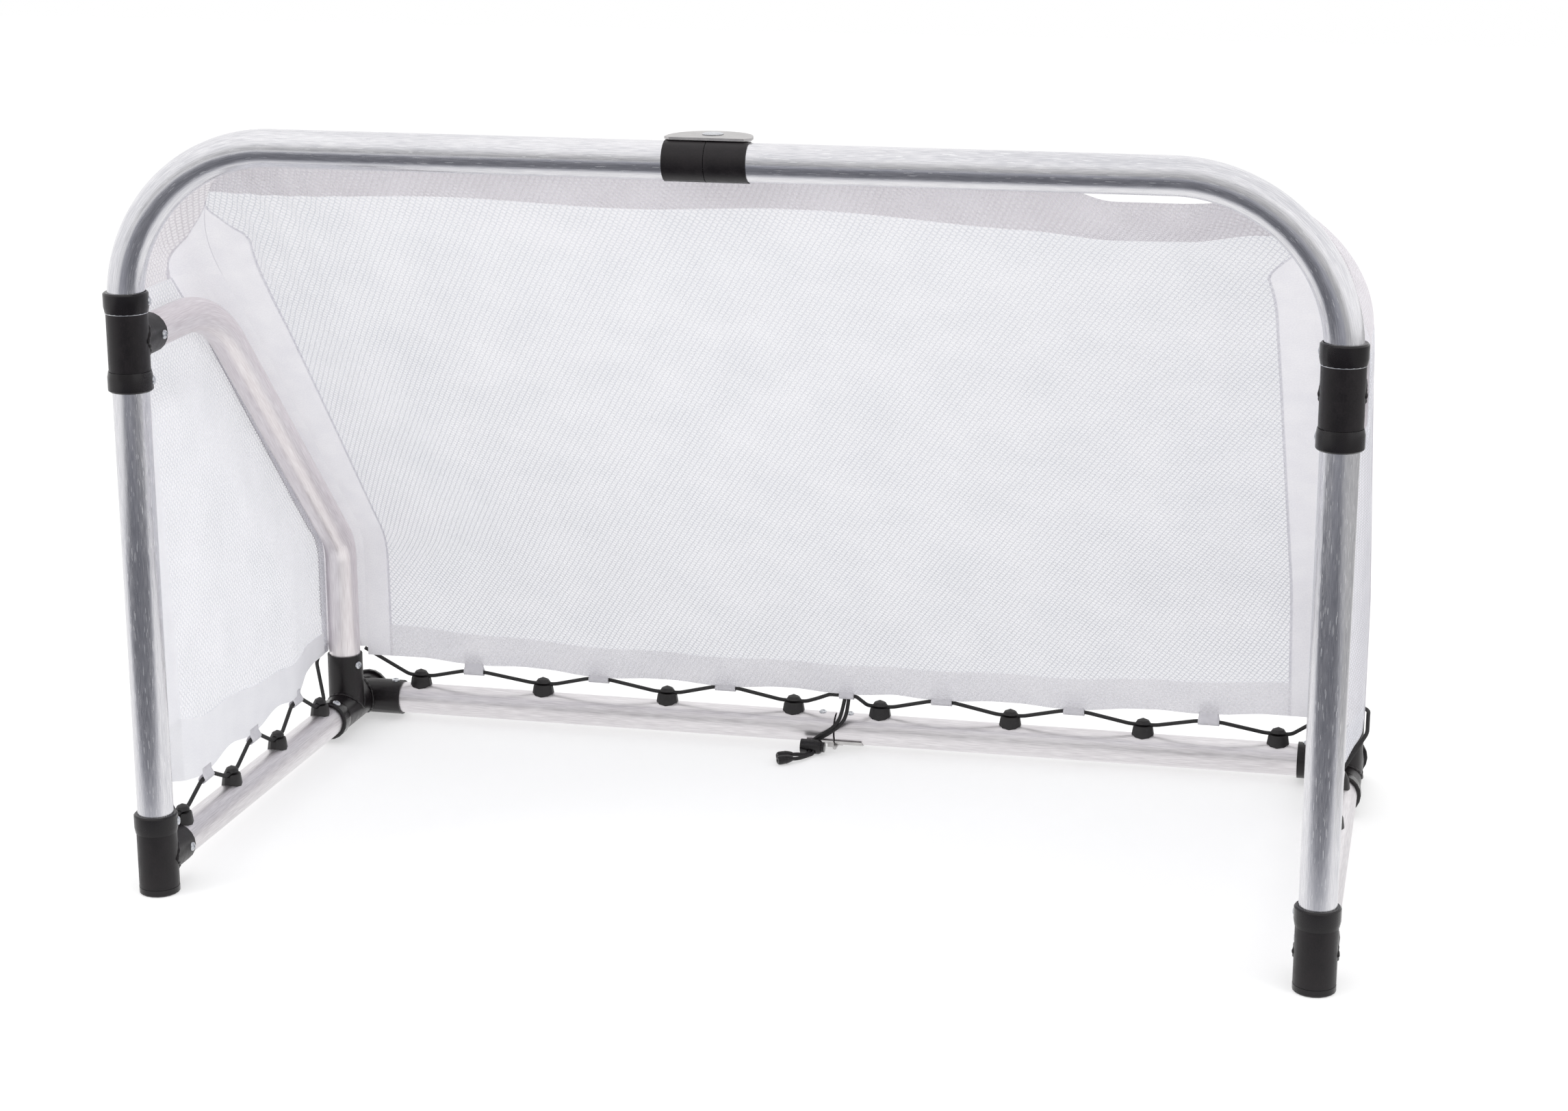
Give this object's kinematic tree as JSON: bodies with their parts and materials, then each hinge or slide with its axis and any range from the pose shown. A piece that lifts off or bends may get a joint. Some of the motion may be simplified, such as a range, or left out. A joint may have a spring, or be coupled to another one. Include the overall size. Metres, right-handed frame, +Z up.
{
  "type": "folding soccer goal",
  "caption": "Small pop-up soccer goal: hinged tube bow in front, hinged bar behind, two rigid side frames and a laced net; folds flat sideways in one motion.",
  "frame": {"origin": "on the floor, midway between the posts and midway between the collars' front and the end caps' back", "axes": "+Z up, +X to the right seen from the front, +Y to the back"},
  "size_m": [1.2764, 0.684, 0.8251],
  "materials": {
    "mill_aluminium": "mill finished tube with fine drawn scratches",
    "black_coated_steel": "satin black powder coat",
    "black_plastic": "moulded black, low gloss",
    "zinc_plated_steel": "bright zinc plated",
    "hinge_plate_steel": "plain pressed plate",
    "white_knitted_net": "white knitted net",
    "black_elastic_cord": "black braided elastic"
  },
  "bodies": {
    "side_left": {"upper_tee_left": "black_coated_steel", "lower_tee_left": "black_coated_steel", "rear_tee_left": "black_coated_steel", "base_tube_left": "mill_aluminium", "bent_tube_left": "mill_aluminium", "rear_collar_left": "black_plastic", "end_cap_left": "black_plastic", "net_left": "white_knitted_net", "lacing_cord_left": "black_elastic_cord", "base_hook_left_1": "black_plastic", "base_hook_left_2": "black_plastic", "base_hook_left_3": "black_plastic", "base_hook_left_4": "black_plastic", "net_back": "white_knitted_net"},
    "front_left": {"front_tube_left": "mill_aluminium", "collar_over_upper_tee_left": "black_plastic", "collar_under_upper_tee_left": "black_plastic", "collar_over_lower_tee_left": "black_plastic", "foot_plug_left": "black_plastic", "hinge_sleeve_left": "black_coated_steel", "hinge_plate": "hinge_plate_steel", "hinge_rivet": "zinc_plated_steel"},
    "front_right": {"front_tube_right": "mill_aluminium", "collar_over_upper_tee_right": "black_plastic", "collar_under_upper_tee_right": "black_plastic", "collar_over_lower_tee_right": "black_plastic", "foot_plug_right": "black_plastic", "hinge_sleeve_right": "black_coated_steel"},
    "side_right": {"upper_tee_right": "black_coated_steel", "lower_tee_right": "black_coated_steel", "rear_tee_right": "black_coated_steel", "base_tube_right": "mill_aluminium", "bent_tube_right": "mill_aluminium", "rear_collar_right": "black_plastic", "end_cap_right": "black_plastic", "net_right": "white_knitted_net", "lacing_cord_right": "black_elastic_cord", "base_hook_right_1": "black_plastic", "base_hook_right_2": "black_plastic", "base_hook_right_3": "black_plastic", "base_hook_right_4": "black_plastic"},
    "rear_left": {"bar_tee_left": "black_coated_steel", "rear_bar_left": "mill_aluminium", "rear_hinge_leaf_left": "hinge_plate_steel", "rear_lacing_cord_left": "black_elastic_cord", "rear_hook_left_1": "black_plastic", "rear_hook_left_2": "black_plastic", "rear_hook_left_3": "black_plastic", "rear_hook_left_4": "black_plastic", "cord_lock_barrel": "black_plastic", "cord_tail": "black_elastic_cord"},
    "rear_right": {"bar_tee_right": "black_coated_steel", "rear_bar_right": "mill_aluminium", "rear_hinge_leaf_right": "hinge_plate_steel", "rear_lacing_cord_right": "black_elastic_cord", "rear_hook_right_1": "black_plastic", "rear_hook_right_2": "black_plastic", "rear_hook_right_3": "black_plastic", "rear_hook_right_4": "black_plastic"},
    "lock_button": {"cord_lock_button": "black_plastic"}
  },
  "joints": [
    {"name": "fold", "type": "hinge", "parent": "side_left", "child": "front_left", "pos_m": [-0.61, -0.31874, 0.4], "axis": [0, 0, -1], "range_deg": [0, 84], "deforming": ["net_back"]},
    {"name": "crossbar_hinge", "type": "hinge", "parent": "front_left", "child": "front_right", "pos_m": [0, -0.29674, 0.8], "axis": [0, 0, 1], "range_deg": [0, 168]},
    {"name": "right_post_turn", "type": "hinge", "parent": "front_right", "child": "side_right", "pos_m": [0.61, -0.31874, 0.4], "axis": [0, 0, -1], "range_deg": [0, 84]},
    {"name": "rear_bar_turn_left", "type": "hinge", "parent": "side_left", "child": "rear_left", "pos_m": [-0.61, 0.30404, 0.02555], "axis": [0, -0.9998, 0.0197], "range_deg": [0, 84]},
    {"name": "rear_bar_turn_right", "type": "hinge", "parent": "side_right", "child": "rear_right", "pos_m": [0.61, 0.30404, 0.02555], "axis": [0, 0.9998, -0.0197], "range_deg": [0, 84]},
    {"name": "cord_lock_press", "type": "slide", "parent": "rear_left", "child": "lock_button", "axis": [-1, 0, 0], "range_m": [0, 0.0035], "stiffness_N_per_m": 200, "springref_m": -0.003}
  ],
  "couplings": [
    {"joint": "crossbar_hinge", "follows": "fold", "ratio": 2},
    {"joint": "right_post_turn", "follows": "fold", "ratio": 1},
    {"joint": "rear_bar_turn_left", "follows": "fold", "ratio": 1},
    {"joint": "rear_bar_turn_right", "follows": "fold", "ratio": 1}
  ]
}
